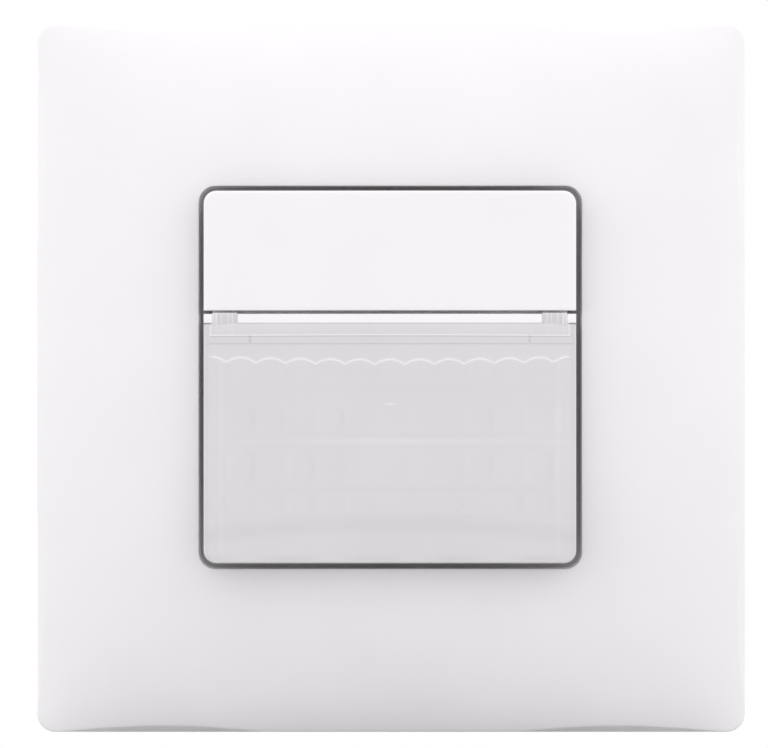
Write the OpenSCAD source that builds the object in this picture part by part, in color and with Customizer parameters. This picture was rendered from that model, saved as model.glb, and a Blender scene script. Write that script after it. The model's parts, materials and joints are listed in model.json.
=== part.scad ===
// Motion sensor light switch for a 60 mm round flush box.
// The wall is the plane y = 0, the face looks along -Y and +Z is up.
// Modules are drawn lying on the wall: x right, y up, z out of the wall.

/* [Cover frame] */
// Width and height of the frame
frame_size = 85; // [80:0.5:95]
// Outer corner radius of the frame
frame_corner_r = 2.2; // [1:0.1:4]
// Width and height of the opening
opening_size = 46; // [45:0.1:48]
// Corner radius of the opening
opening_corner_r = 2; // [1.6:0.1:3]
// Thickness of the lip at the middle of an opening edge
frame_lip = 1.7; // [1.5:0.1:2.4]
// Height of the level outer edge over the wall
frame_edge = 3.4; // [3:0.1:4]
// Part of the rise that comes close to the outer edge
frame_shoulder = 1.9; // [1.2:0.1:2.4]
// Fall of the face towards the opening
frame_dish = 0.6; // [0.2:0.1:0.8]
// Width of the fall towards the opening
dish_reach = 10; // [6:0.5:12]
// Wall thickness of the frame
frame_skin = 1.8; // [1.2:0.1:2]
// Width of the rim that stands on the wall
frame_rim = 2; // [1.4:0.1:3]
// Widest slope of the side wall, off the middle of each side
edge_bevel = 0.7; // [0.1:0.1:1.2]
// Gap between the frame lip and the housing under it
lip_gap = 0.2; // [0.1:0.05:0.3]

/* [Support plate] */
// Width and height of the plate
support_size = 71; // [68:0.5:72]
// Sheet thickness
support_t = 1; // [0.8:0.1:1.4]
// Corner radius of the plate
support_corner_r = 3; // [2:0.5:5]
// Distance between the two box screws of a pair
screw_spacing = 60; // [57:0.5:61]
// Width of a screw slot
slot_w = 4.4; // [3.6:0.1:5]
// Free travel of a screw along its slot
slot_travel = 3; // [1:0.2:4]
// Distance of each catch tab from the middle line
tab_x = 22; // [12:1:28]
// Width of a catch tab
tab_w = 6; // [5:0.5:9]
// Height of a catch tab above the wall
tab_h = 3.6; // [3.4:0.1:3.8]
// Height of the window in a catch tab
tab_window_h = 1.2; // [1:0.1:1.4]
// Thickness of a frame hook
hook_t = 1.2; // [1:0.1:1.4]
// Clearance between hooks, tabs and notches
snap_gap = 0.15; // [0.1:0.05:0.2]

/* [Front face] */
// Gap between the frame opening and the face
ring_gap = 0.7; // [0.5:0.05:0.8]
// Height of the middle of the face over the wall
face_height = 13.2; // [12:0.1:15]
// Radius of the slight bulge of the face
face_bulge_r = 400; // [300:10:900]
// Corner radius of the face
face_corner_r = 1.5; // [1.2:0.1:1.9]
// Height of the key
key_h = 14.35; // [13.5:0.05:15]
// Gap between key and crossbar
key_gap = 0.4; // [0.35:0.05:0.5]
// Height of the crossbar
bar_h = 1.1; // [1:0.05:1.4]
// Reach of the crossbar's ledge behind the seam under the key
bar_ledge = 0.6; // [0.5:0.05:0.7]
// Wall thickness of the lens
lens_wall = 1; // [0.8:0.1:1.2]
// Seam between crossbar and lens
lens_seam = 0.08; // [0.05:0.01:0.15]
// Width of a lens hook
lens_hook_w = 2.7; // [2:0.1:3.2]
// Distance of a lens hook from the middle line
lens_hook_x = 19.75; // [19.4:0.05:19.9]
// Depth of a lens hook behind the face
lens_hook_t = 1.2; // [1:0.1:1.4]
// Wall thickness of the key
key_wall = 1.4; // [1:0.1:1.6]

/* [Key mechanism] */
// Distance of the pivot over the lower edge of the key
pivot_rise = 0.95; // [0.9:0.05:1.1]
// Height of the pivot over the housing face
pivot_height = 1.95; // [1.85:0.05:2.05]
// Radius of a pivot pin
pivot_r = 0.75; // [0.65:0.05:0.8]
// Radial clearance of turning and sliding fits
running_gap = 0.05; // [0.03:0.01:0.07]
// Wall of a pivot ear around its bore
ear_wall = 0.55; // [0.5:0.05:0.6]
// Width of a pivot ear
ear_w = 1.3; // [1.1:0.1:1.4]
// Distance of switch and dials over the pivot
switch_rise = 5.5; // [5.3:0.1:5.9]
// Radius of the switch plunger
plunger_r = 1.75; // [1.5:0.05:1.8]
// Gap between key post and plunger
post_gap = 0.12; // [0.1:0.02:0.16]
// Mean radius of the key spring
spring_r = 3; // [2.9:0.1:3.2]
// Wire thickness of the key spring
spring_wire = 0.45; // [0.35:0.05:0.5]
// Turns of the key spring
spring_turns = 2.5; // [2:0.25:2.75]

/* [Housing] */
// Height of the housing face over the wall
housing_face = 7; // [6.9:0.05:7.1]
// Width of housing face hidden under the frame lip
housing_lap = 1.5; // [1.2:0.1:1.8]
// Thickness of the housing face
face_t = 1.6; // [1.4:0.1:1.8]
// Width and height of the body inside the box
body_size = 45; // [42:0.1:46]
// Corner chamfer of the body, so that it clears a round box
body_chamfer = 4.2; // [3:0.1:5]
// Wall thickness of the body
body_wall = 1.5; // [1.4:0.1:1.7]
// Depth of the body behind the wall
body_depth = 27; // [25:0.1:32]
// Depth of the split between front and rear housing
split_depth = 6; // [5:0.1:9]
// Height of the tongue across the split
tongue_h = 1.6; // [1.2:0.1:2]
// Play of parts that only slip into each other
slip_gap = 0.15; // [0.1:0.05:0.2]
// Thickness of the back wall
back_t = 1.8; // [1.4:0.1:2.2]
// Distance of each housing screw from the two nearest sides of the body
post_xy = 5.7; // [5.4:0.1:6]
// Radius of a screw post
post_r = 2.5; // [2.3:0.1:2.6]
// Radius of the stepped foot of a screw post
post_foot_r = 3.5; // [3.3:0.1:3.7]
// Shank radius of a housing screw
screw_r = 1.1; // [1:0.05:1.2]
// Head radius of a housing screw
screw_head_r = 2.1; // [1.9:0.1:2.2]
// Head height of a housing screw
screw_head_h = 1.5; // [1.2:0.1:1.8]
// Reach of a housing screw into the front housing
screw_reach = 4; // [2.5:0.5:5]
// Width of the sensor window in the housing face
window_w = 28; // [20:1:30]

/* [Circuit boards] */
// Thickness of both boards
board_t = 1.6; // [1.4:0.1:1.7]
// Gap between boards and walls
board_gap = 0.4; // [0.3:0.1:0.6]
// Depth of the front of the sensor board
sensor_board_z = 1; // [0.9:0.1:1.1]
// Distance of the front of the power board from the back of the body
power_board_z = 11.2; // [10.8:0.1:13]
// Height of the sensor axis below the middle
sensor_drop = 4; // [2:0.5:6]
// Radius of the infrared sensor can
can_r = 4.1; // [3.9:0.1:4.2]
// Height of the infrared sensor can
can_h = 4.4; // [4:0.1:4.8]
// Radius of the small round lamps and light sensors
lamp_r = 1.5; // [1.4:0.1:1.6]
// Distance of lamp and light sensor from the sensor axis
lamp_x = 9.5; // [9:0.5:11]
// Width of a trimmer base
trimmer_w = 7; // [6.6:0.1:7.2]
// Distance of each dial from the middle line
dial_x = 8.2; // [8:0.1:9.6]
// Radius of a dial
dial_r = 3.1; // [2.9:0.1:3.2]
// Width of the small push switch
tact_w = 6; // [5.8:0.1:6.2]
// Spacing of the header pins
header_pitch = 2.54; // [2.4:0.02:2.6]
// Width of a header pin
header_pin = 0.6; // [0.5:0.05:0.64]

/* [Power parts] */
// Width of the relay
relay_w = 18; // [15:0.5:18]
// Depth of the relay along the board
relay_d = 10; // [8:0.5:10]
// Height of the tall parts over the power board
part_h = 8.6; // [7:0.2:10]
// Radius of the electrolytic capacitor
cap_r = 4; // [3.5:0.1:4]
// Radius of the varistor disc
varistor_r = 3.6; // [3:0.1:3.8]
// Radius of the fuse
fuse_r = 3; // [2.6:0.1:3.2]
// Radius of the inductor
coil_r = 3.5; // [3:0.1:3.6]

/* [Terminals] */
// Distance between neighbouring terminals
terminal_pitch = 7.5; // [7.2:0.1:8]
// Width of a terminal cage
cage_w = 5.4; // [5:0.1:5.8]
// Height of a terminal cage
cage_h = 7; // [6.6:0.1:7.2]
// Depth of a terminal cage behind the power board
cage_d = 6.6; // [6.2:0.1:7]
// Radius of the wire hole in a cage
wire_r = 1.7; // [1.5:0.05:1.75]
// Side of the square wire entries
entry_w = 5; // [4.4:0.1:5.4]
// Shank radius of a terminal screw
clamp_r = 1.5; // [1.3:0.05:1.5]
// Head radius of a terminal screw
clamp_head_r = 2.4; // [2:0.1:2.6]
// Head height of a terminal screw
clamp_head_h = 1.8; // [1.6:0.1:2]

/* [Hidden] */
$fn = 48;
eps = 0.01;
// How far a cut runs past the faces that it opens
over = 1;
frame_half = frame_size / 2;
opening_half = opening_size / 2;
face_half = opening_half - ring_gap;
body_half = body_size / 2;
body_inner = body_half - body_wall;
housing_half = opening_half + housing_lap;
housing_r = opening_corner_r + housing_lap;

// Pillow of the frame face
lip_z = housing_face + lip_gap;
opening_t = opening_half / frame_half;
opening_rise = lip_z + frame_lip + frame_dish - frame_edge - frame_shoulder;
frame_rise = opening_rise / (1 - opening_t * opening_t);
shoulder_power = 12;
dish_power = 8;
bevel_from = 0.37;
bevel_to = 0.93;
side_points = 16;
arc_points = 3;
face_rings = 9;
pocket_half = housing_half + 2 * lip_gap;

// Catch tabs and frame hooks
tab_y = support_size / 2 - support_t;
tab_window_z = tab_h - tab_window_h - support_t;
tab_side = 1;
tab_window_w = tab_w - 2 * tab_side;
hook_y = support_size / 2 + snap_gap;
hook_bottom = tab_window_z - snap_gap;
hook_root = frame_skin / 3;

// Bands of the face from top to bottom
key_top = face_half;
key_low = key_top - key_h;
bar_top = key_low - key_gap;
bar_low = bar_top - bar_h;
lens_top = bar_low - lens_seam;
lens_low = -face_half;
face_edge = face_height - bulge(face_half);

// Pivot, switch and dials
pivot_y = key_low + pivot_rise;
pivot_z = housing_face + pivot_height;
ear_r = pivot_r + running_gap + ear_wall;
ear_gap = 0.2;
ear_x = face_half - key_wall - ear_gap - ear_w;
switch_y = pivot_y + switch_rise;
post_tip_r = 1.4;
plunger_rise = 2;
plunger_top = housing_face + plunger_rise;
skirt_gap_low = 0.7;
skirt_gap_high = 1.5;
skirt_low = housing_face + skirt_gap_low;
skirt_high = housing_face + skirt_gap_high;
key_hollow_z = face_height - key_wall;
ledge_gap = 0.3;
ledge_top = face_edge - key_wall - ledge_gap;
ledge_half = ear_x - ear_gap;
bar_tab_x = 8;
bar_tab_w = 3;
bar_tab_t = 0.7;
bar_tab_past = 0.6;
bar_tab_d = face_t + bar_tab_past;

// Levels behind the wall, all negative
sensor_front = -sensor_board_z;
sensor_back = sensor_front - board_t;
back_face = -body_depth;
power_front = back_face + power_board_z;
power_back = power_front - board_t;
back_inner = back_face + back_t;
split_z = -split_depth;
tongue_out = body_inner + body_wall / 2 - slip_gap;
rebate_half = body_inner + body_wall / 2;
face_back = housing_face - face_t;
window_edge_top = 2;
window_edge_low = 2.4;
window_top = bar_low - window_edge_top;
window_low = lens_low + window_edge_low;
lug_reach = 0.9;
lug_h = 1.6;
lug_w = 10;

// Screws and posts
screw_clear = 0.25;
head_clear = 0.3;
screw_sink = 1.5;
cross_l = 2.9;
cross_w = 0.8;
cross_t = 0.75;
screw_tip_gap = 0.5;
screw_seat = back_face + screw_head_h + screw_sink;
post_at = body_half - post_xy;
posts = [for (sx = [-1, 1], sy = [-1, 1]) [sx * post_at, sy * post_at]];

// Sensor board parts
can_flange_t = 0.6;
can_flange_w = 0.5;
can_flange_r = can_r + can_flange_w;
filter_w = 4;
filter_h = 3;
filter_t = 0.4;
filter_gap = 0.05;
lead_r = 0.25;
lead_pcr = 2.54;
lead_l = 3.2;
lead_hole_r = 0.4;
shroud_gap = 0.5;
shroud_t = 1.2;
shroud_h = 3.6;
lamp_body_h = 2.2;
trimmer_h = 4;
dial_gap = 0.2;
dial_sink = 0.6;
dial_top = housing_face - dial_sink;
dial_stub_r = 1.2;
dial_stub_l = 3;
dial_slot_w = 0.9;
dial_slot_t = 0.9;
dial_slot_end = 0.5;
dial_clear = 0.4;
dial_hole_r = dial_r + dial_clear;
tact_h = 3.6;
tact_cavity_r = 2.6;
tact_floor_t = 0.4;
tact_cavity_h = 1.4;
plunger_flange_r = 2.2;
plunger_flange_h = 0.6;
plunger_rest_gap = 0.1;
plunger_clear = 0.35;
plunger_hole_r = plunger_r + plunger_clear;
chip_w = 5;
chip_h = 1;
chip_at = [8, -8];

// Board header
header_in = 2.7;
header_x = body_inner - header_in;
header_w = 2.5;
header_h = 2.5;
header_count = 5;
pin_tail = 0.8;
pin_play = 0.2;
pin_hole = header_pin + pin_play;

// Power board parts
relay_at = [-3, 8.5];
film_w = 13;
film_d = 6;
film_h = 8.2;
film_at = [-5, -3];
cap_at = [11, 8.2];
varistor_t = 3;
varistor_at = [-7, -11];
fuse_h = 7.5;
fuse_at = [2.5, -11.5];
bridge_w = 5;
bridge_d = 4;
bridge_h = 2.5;
bridge_at = [10, -9.5];
coil_h = 8;
coil_groove = 1;
coil_neck_r = coil_r - coil_groove;
coil_flange_t = 1.2;
coil_at = [9.5, -1.5];

// Terminals
terminals = [-1, 0, 1];
cage_back = power_back - cage_d;
cage_gap = 0.6;
cage_low = -body_inner + cage_gap;
cage_roof = 0.9;
wire_z = power_back - wire_r - cage_roof;
clamp_y = cage_low + cage_h / 2;
clamp_open = 0.1;
clamp_tip = wire_z - wire_r - clamp_open;
clamp_stand = 0.4;
clamp_seat = cage_back - clamp_stand;
clamp_slot_w = 0.8;
clamp_slot_t = 0.9;
driver_clear = 0.4;
clamp_hole_r = clamp_head_r + driver_clear;
barrier_t = 1;
barrier_past = 1;
barrier_top = cage_low + cage_h + barrier_past;
barrier_gap = 0.4;

// Key spring
spring_low = housing_face + spring_wire / 2 + eps;
spring_gap = 0.1;
spring_high = key_hollow_z - bulge(spring_r) - spring_wire / 2 - spring_gap;
spring_pitch = (spring_high - spring_low) / spring_turns;
curl_rings = 8;
wire_sides = 6;
echo(key_spring_least_gap = spring_pitch - spring_wire);

plastic_white = [0.95, 0.95, 0.95];
plastic_grey = [0.2, 0.2, 0.21];
lens_white = [0.86, 0.86, 0.87];
board_green = [0.1, 0.35, 0.2];
steel = [0.75, 0.76, 0.78];
brass = [0.8, 0.66, 0.35];
black = [0.08, 0.08, 0.09];

// Fall of the bulged face at a distance from its middle line
function bulge(x) = face_bulge_r - sqrt(face_bulge_r * face_bulge_r - x * x);

// Height of the frame face over the wall at a point
function frame_z(p) =
  let (
    tx = abs(p[0]) / frame_half,
    ty = abs(p[1]) / frame_half,
    pillow = (1 - tx * tx) * (1 - ty * ty),
    shoulder = (1 - pow(tx, shoulder_power)) * (1 - pow(ty, shoulder_power)),
    near = pow(pow(abs(p[0]), dish_power) + pow(abs(p[1]), dish_power), 1 / dish_power),
    dish = pow(max(1 - (near - opening_half) / dish_reach, 0), 2)
  )
  frame_edge + frame_rise * pillow + frame_shoulder * shoulder - frame_dish * dish;

// One side and the corner after it, for a rounded square
function side_and_corner(half, r) = concat(
  [for (i = [0 : side_points - 1]) [half, (half - r) * (2 * i / side_points - 1)]],
  [for (i = [0 : arc_points - 1])
    let (a = 90 * i / arc_points)
    [half - r + r * cos(a), half - r + r * sin(a)]]
);

// All points around a rounded square
function outline(half, r) = [
  for (q = [0 : 3], p = side_and_corner(half, r))
    [p[0] * cos(90 * q) - p[1] * sin(90 * q), p[0] * sin(90 * q) + p[1] * cos(90 * q)]
];

// Points part of the way from one outline to another
function between(a, b, t) = [for (i = [0 : len(a) - 1]) a[i] * (1 - t) + b[i] * t];

// Outline drawn in where the side wall slopes
function bevelled(pts) = [
  for (p = pts)
    let (
      s = min(abs(p[0]), abs(p[1])) / frame_half,
      share = (s - bevel_from) / (bevel_to - bevel_from),
      in = share > 0 && share < 1 ? edge_bevel * sin(180 * share) : 0
    )
    p * (1 - in / frame_half)
];

function level(pts, z) = [for (p = pts) [p[0], p[1], z]];
function on_face(pts, drop) = [for (p = pts) [p[0], p[1], frame_z(p) - drop]];

// Closed skin over a list of rings that have the same number of points
module ring_skin(rings) {
  n = len(rings[0]);
  m = len(rings);
  points = [for (ring = rings, p = ring) p];
  faces = [
    for (j = [0 : m - 1], i = [0 : n - 1])
      let (
        a = j * n + i,
        b = j * n + (i + 1) % n,
        c = ((j + 1) % m) * n + (i + 1) % n,
        d = ((j + 1) % m) * n + i
      )
      each [[a, b, c], [a, c, d]]
  ];
  polyhedron(points, faces);
}

module on_wall() {
  rotate([90, 0, 0])
    children();
}

// Solid between two heights
module slab(low, high) {
  translate([0, 0, low])
    linear_extrude(high - low)
      children();
}

module rod(at, r, low, high) {
  translate([at[0], at[1], low])
    cylinder(r = r, h = high - low);
}

module block(at, w, d, low, high) {
  translate([at[0] - w / 2, at[1] - d / 2, low])
    cube([w, d, high - low]);
}

module rounded_square(half, r) {
  square([2 * half, 2 * (half - r)], center = true);
  square([2 * (half - r), 2 * half], center = true);
  for (sx = [-1, 1], sy = [-1, 1])
    translate([sx * (half - r), sy * (half - r)])
      circle(r);
}

module chamfered_square(half) {
  in = half - body_chamfer;
  polygon([
    [half, -in], [half, in], [in, half], [-in, half],
    [-half, in], [-half, -in], [-in, -half], [in, -half]
  ]);
}

// Slope-sided solid along x from one x to another, drawn in the y and z plane
module along_x(from, to) {
  translate([from, 0, 0])
    rotate([90, 0, 90])
      linear_extrude(to - from)
        children();
}

// Space behind the bulged face, set back by some depth
module under_bulge(back, low, y_low, y_high) {
  intersection() {
    translate([-frame_half, y_low, low])
      cube([frame_size, y_high - y_low, face_height - low]);
    translate([0, y_high, face_height - face_bulge_r])
      rotate([90, 0, 0])
        cylinder(r = face_bulge_r - back, h = y_high - y_low, $fn = 360);
  }
}

module cover_frame() {
  lip = outline(opening_half, opening_corner_r);
  rim = outline(frame_half, frame_corner_r);
  inner = outline(frame_half - frame_rim, frame_corner_r);
  pocket = outline(pocket_half, housing_r);
  crease = bevelled(rim);
  rings = concat(
    [level(lip, lip_z)],
    [for (k = [0 : face_rings]) on_face(between(lip, crease, k / face_rings), 0)],
    [level(rim, 0), level(inner, 0)],
    [for (k = [0 : face_rings]) on_face(between(inner, pocket, k / face_rings), frame_skin)],
    [level(pocket, lip_z)]
  );
  color(plastic_white) {
    ring_skin(rings);
    for (sx = [-1, 1], sy = [0, 1])
      mirror([0, sy, 0])
        frame_hook(sx * tab_x);
  }
}

module frame_hook(x) {
  at = [x, hook_y + hook_t / 2];
  reach = support_t;
  block(at, tab_window_w, hook_t, hook_bottom, frame_z([x, hook_y]) - frame_skin + hook_root);
  block(
    [x, hook_y - reach / 2 + eps],
    tab_window_w - 2 * snap_gap,
    reach + 2 * eps,
    tab_window_z + snap_gap,
    tab_window_z + tab_window_h - snap_gap
  );
}

module support_plate() {
  color(steel)
    difference() {
      union() {
        slab(0, support_t)
          rounded_square(support_size / 2, support_corner_r);
        for (sx = [-1, 1], sy = [-1, 1])
          block([sx * tab_x, sy * (tab_y + support_t / 2)], tab_w, support_t, 0, tab_h);
      }
      slab(-over, support_t + over)
        chamfered_square(body_half + 2 * slip_gap);
      for (a = [0, 90])
        rotate([0, 0, a])
          for (s = [-1, 1])
            slab(-over, support_t + over)
              screw_slot(s * screw_spacing / 2);
      for (sx = [-1, 1], sy = [-1, 1])
        block(
          [sx * tab_x, sy * (tab_y + support_t / 2)],
          tab_window_w,
          2 * support_t,
          tab_window_z,
          tab_window_z + tab_window_h
        );
    }
}

module screw_slot(x) {
  for (s = [-1, 1])
    translate([x + s * slot_travel / 2, 0])
      circle(slot_w / 2);
  translate([x, 0])
    square([slot_travel, slot_w], center = true);
}

module front_housing() {
  color(plastic_grey)
    difference() {
      union() {
        difference() {
          union() {
            slab(support_t, housing_face)
              rounded_square(housing_half, housing_r);
            slab(split_z, support_t + eps)
              chamfered_square(body_half);
          }
          slab(split_z - over, face_back)
            chamfered_square(body_inner);
          slab(split_z - over, split_z + tongue_h + slip_gap)
            chamfered_square(rebate_half);
        }
        for (p = posts)
          rod(p, post_r, sensor_front, face_back + eps);
        for (s = [-1, 1]) {
          pivot_ear(s * (ear_x + ear_w / 2));
          snap_lug(s);
        }
      }
      for (p = posts)
        rod(p, screw_r + running_gap, sensor_front - over, sensor_front + screw_reach + screw_tip_gap);
      translate([-window_w / 2, window_low, face_back - over])
        cube([window_w, window_top - window_low, face_t + 2 * over]);
      rod([0, switch_y], plunger_hole_r, face_back - over, housing_face + over);
      for (s = [-1, 1]) {
        rod([s * dial_x, switch_y], dial_hole_r, face_back - over, housing_face + over);
        block(
          [s * bar_tab_x, (bar_low + bar_top) / 2],
          bar_tab_w + 2 * slip_gap,
          bar_tab_t + 2 * slip_gap,
          face_back - over,
          housing_face + over
        );
        translate([s * (ear_x + ear_w / 2) - ear_w, pivot_y, pivot_z])
          rotate([0, 90, 0])
            cylinder(r = pivot_r + running_gap, h = 2 * ear_w);
      }
    }
}

module pivot_ear(x) {
  translate([x - ear_w / 2, pivot_y, pivot_z])
    rotate([0, 90, 0])
      cylinder(r = ear_r, h = ear_w);
  block([x, pivot_y], ear_w, 2 * ear_r, housing_face - eps, pivot_z);
}

// Wedge that locks the body behind the support plate
module snap_lug(s) {
  mirror([s > 0 ? 0 : 1, 0, 0])
    translate([0, lug_w / 2, 0])
      rotate([90, 0, 0])
        linear_extrude(lug_w)
          polygon([
            [body_half - eps, -slip_gap],
            [body_half + lug_reach, -slip_gap],
            [body_half + lug_reach, -slip_gap - lug_h / 3],
            [body_half - eps, -slip_gap - lug_h]
          ]);
}

module rear_housing() {
  color(plastic_grey)
    difference() {
      union() {
        difference() {
          union() {
            slab(back_face, split_z)
              chamfered_square(body_half);
            slab(split_z - eps, split_z + tongue_h)
              chamfered_square(tongue_out);
          }
          slab(back_inner, split_z + tongue_h + over)
            chamfered_square(body_inner);
        }
        for (p = posts) {
          rod(p, post_r, back_inner - eps, sensor_back);
          rod(p, post_foot_r, back_inner - eps, power_back);
        }
        for (s = [-1, 1])
          translate([
            s * terminal_pitch / 2 - barrier_t / 2,
            -body_inner - eps,
            back_inner - eps
          ])
            cube([
              barrier_t,
              barrier_top + body_inner,
              power_back - barrier_gap - back_inner
            ]);
      }
      for (p = posts) {
        rod(p, screw_r + screw_clear, back_face - over, sensor_back + over);
        rod(p, screw_head_r + head_clear, back_face - over, screw_seat);
      }
      for (k = terminals) {
        rod([k * terminal_pitch, clamp_y], clamp_hole_r, back_face - over, back_inner + over);
        translate([k * terminal_pitch - entry_w / 2, -body_half - over, wire_z - entry_w / 2])
          cube([entry_w, body_wall + cage_gap + over, entry_w]);
      }
    }
}

// Body of the crossbar, bulged like the rest of the face, with a ledge that closes the seam
module crossbar() {
  mid = (bar_low + bar_top) / 2;
  notch_floor = face_edge - lens_hook_t - snap_gap;
  color(plastic_white) {
    difference() {
      intersection() {
        under_bulge(0, housing_face, bar_low, bar_top);
        block([0, mid], 2 * face_half, 2 * bar_h, housing_face, face_height + over);
      }
      for (s = [-1, 1])
        block(
          [s * lens_hook_x, mid],
          lens_hook_w + 2 * snap_gap,
          2 * bar_h,
          notch_floor,
          face_height + over
        );
    }
    block([0, bar_top + bar_ledge / 2 - eps], 2 * ledge_half, bar_ledge, housing_face, ledge_top);
    for (s = [-1, 1])
      block([s * bar_tab_x, mid], bar_tab_w, bar_tab_t, housing_face - bar_tab_d, housing_face + eps);
  }
}

// Outline of the lens, drawn in by a wall thickness
module lens_outline(in) {
  r = face_corner_r - in / 2;
  half = face_half - in;
  low = lens_low + in;
  high = lens_top - in;
  translate([-half, low + r])
    square([2 * half, high - low - r]);
  translate([-half + r, low])
    square([2 * (half - r), high - low]);
  for (s = [-1, 1])
    translate([s * (half - r), low + r])
      circle(r);
}

module lens() {
  hook_z = face_edge - lens_hook_t;
  color(lens_white) {
    difference() {
      intersection() {
        under_bulge(0, housing_face, lens_low - over, lens_top);
        slab(housing_face, face_height + over)
          lens_outline(0);
      }
      intersection() {
        under_bulge(lens_wall, housing_face - over, lens_low - over, lens_top);
        slab(housing_face - over, face_height + over)
          lens_outline(lens_wall);
      }
    }
    for (s = [-1, 1])
      block(
        [s * lens_hook_x, (lens_top + bar_top) / 2 - 2 * eps],
        lens_hook_w,
        bar_top - lens_top,
        hook_z,
        face_edge - eps
      );
  }
}

// Outline of the key, drawn in by a wall thickness
module key_outline(in) {
  r = face_corner_r - in / 2;
  half = face_half - in;
  low = key_low - (in > 0 ? over : 0);
  high = key_top - in;
  translate([-half, low])
    square([2 * half, high - low - r]);
  translate([-half + r, low])
    square([2 * (half - r), high - low]);
  for (s = [-1, 1])
    translate([s * (half - r), high - r])
      circle(r);
}

module override_key() {
  color(plastic_white) {
    difference() {
      intersection() {
        under_bulge(0, skirt_low, key_low, key_top + over);
        slab(skirt_low, face_height + over)
          key_outline(0);
        along_x(-frame_half, frame_half)
          polygon([
            [key_low, skirt_low],
            [key_top, skirt_high],
            [key_top, face_height + over],
            [key_low, face_height + over]
          ]);
      }
      intersection() {
        under_bulge(key_wall, skirt_low - over, key_low - over, key_top + over);
        slab(skirt_low - over, face_height + over)
          key_outline(key_wall);
      }
    }
    for (s = [-1, 1])
      translate([s > 0 ? ear_x : -face_half + key_wall - eps, pivot_y, pivot_z])
        rotate([0, 90, 0])
          cylinder(r = pivot_r, h = face_half - key_wall + eps - ear_x);
    rod([0, switch_y], post_tip_r, plunger_top + post_gap + post_tip_r, key_hollow_z + key_wall / 2);
    translate([0, switch_y, plunger_top + post_gap + post_tip_r])
      sphere(r = post_tip_r);
  }
}

module key_spring() {
  steps = ceil(spring_turns * curl_rings);
  wire = spring_wire / 2;
  rings = [
    for (k = [0 : steps])
      let (
        a = 360 * spring_turns * k / steps,
        z = spring_low + (spring_high - spring_low) * k / steps
      )
      [for (i = [0 : wire_sides - 1])
        let (b = 360 * i / wire_sides, r = spring_r + wire * cos(b))
        [r * cos(a), switch_y + r * sin(a), z + wire * sin(b)]]
  ];
  points = [for (ring = rings, p = ring) p];
  sides = [
    for (k = [0 : steps - 1], i = [0 : wire_sides - 1])
      let (
        a = k * wire_sides + i,
        b = k * wire_sides + (i + 1) % wire_sides
      )
      each [[a, b, b + wire_sides], [a, b + wire_sides, a + wire_sides]]
  ];
  first = [for (i = [wire_sides - 1 : -1 : 0]) i];
  last = [for (i = [0 : wire_sides - 1]) steps * wire_sides + i];
  color(steel)
    polyhedron(points, concat(sides, [first, last]));
}

// Bare board with its post holes and header holes
module board(low, hole_r) {
  color(board_green)
    difference() {
      slab(low, low + board_t)
        chamfered_square(body_inner - board_gap);
      for (p = posts)
        rod(p, hole_r, low - over, low + board_t + over);
      for (k = [0 : header_count - 1])
        block(header_pin_at(k), pin_hole, pin_hole, low - over, low + board_t + over);
    }
}

function header_pin_at(k) = [header_x, (k - (header_count - 1) / 2) * header_pitch];
function lead_at(k) = [
  lead_pcr * cos(90 + 120 * k),
  -sensor_drop + lead_pcr * sin(90 + 120 * k)
];

module sensor_board() {
  difference() {
    board(sensor_back, screw_r + screw_clear);
    for (k = [0 : 2])
      rod(lead_at(k), lead_hole_r, sensor_back - over, sensor_front + over);
  }
}

module power_board() {
  board(power_back, post_r + 2 * slip_gap);
}

module pir_can() {
  axis = [0, -sensor_drop];
  top = sensor_front + can_h;
  color(steel)
    difference() {
      union() {
        rod(axis, can_flange_r, sensor_front, sensor_front + can_flange_t);
        rod(axis, can_r, sensor_front, top);
      }
      block(axis, filter_w, filter_h, top - filter_t, top + over);
    }
}

module pir_window() {
  top = sensor_front + can_h;
  color(black)
    block(
      [0, -sensor_drop],
      filter_w - 2 * filter_gap,
      filter_h - 2 * filter_gap,
      top - filter_t,
      top
    );
}

module pir_leads() {
  color(steel)
    for (k = [0 : 2])
      rod(lead_at(k), lead_r, sensor_front - lead_l, sensor_front);
}

module sensor_shroud() {
  axis = [0, -sensor_drop];
  inner = can_flange_r + shroud_gap;
  color(black)
    difference() {
      rod(axis, inner + shroud_t, sensor_front, sensor_front + shroud_h);
      rod(axis, inner, sensor_front - over, sensor_front + shroud_h + over);
    }
}

module round_lamp(x) {
  at = [x, -sensor_drop];
  rod(at, lamp_r, sensor_front, sensor_front + lamp_body_h);
  translate([at[0], at[1], sensor_front + lamp_body_h])
    sphere(r = lamp_r);
}

module light_sensor() {
  color([0.2, 0.2, 0.25])
    round_lamp(lamp_x);
}

module status_led() {
  color([0.75, 0.15, 0.12])
    round_lamp(-lamp_x);
}

module controller_chip() {
  color(black)
    block(chip_at, chip_w, chip_w, sensor_back - chip_h, sensor_back);
}

module tact_switch_body() {
  low = sensor_front + tact_floor_t;
  color(black)
    difference() {
      block([0, switch_y], tact_w, tact_w, sensor_front, sensor_front + tact_h);
      rod([0, switch_y], tact_cavity_r, low, low + tact_cavity_h);
      rod([0, switch_y], plunger_r + running_gap, low, sensor_front + tact_h + over);
    }
}

module switch_plunger() {
  flange_top = sensor_front + tact_floor_t + tact_cavity_h - plunger_rest_gap;
  flange_low = flange_top - plunger_flange_h;
  color(plastic_white) {
    rod([0, switch_y], plunger_r, flange_low, plunger_top);
    rod([0, switch_y], plunger_flange_r, flange_low, flange_top);
  }
}

module trimmer_base(s) {
  top = sensor_front + trimmer_h;
  at = [s * dial_x, switch_y];
  color([0.15, 0.25, 0.5])
    difference() {
      block(at, trimmer_w, trimmer_w, sensor_front, top);
      rod(at, dial_stub_r + running_gap, top - dial_stub_l - dial_gap, top + over);
    }
}

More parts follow.
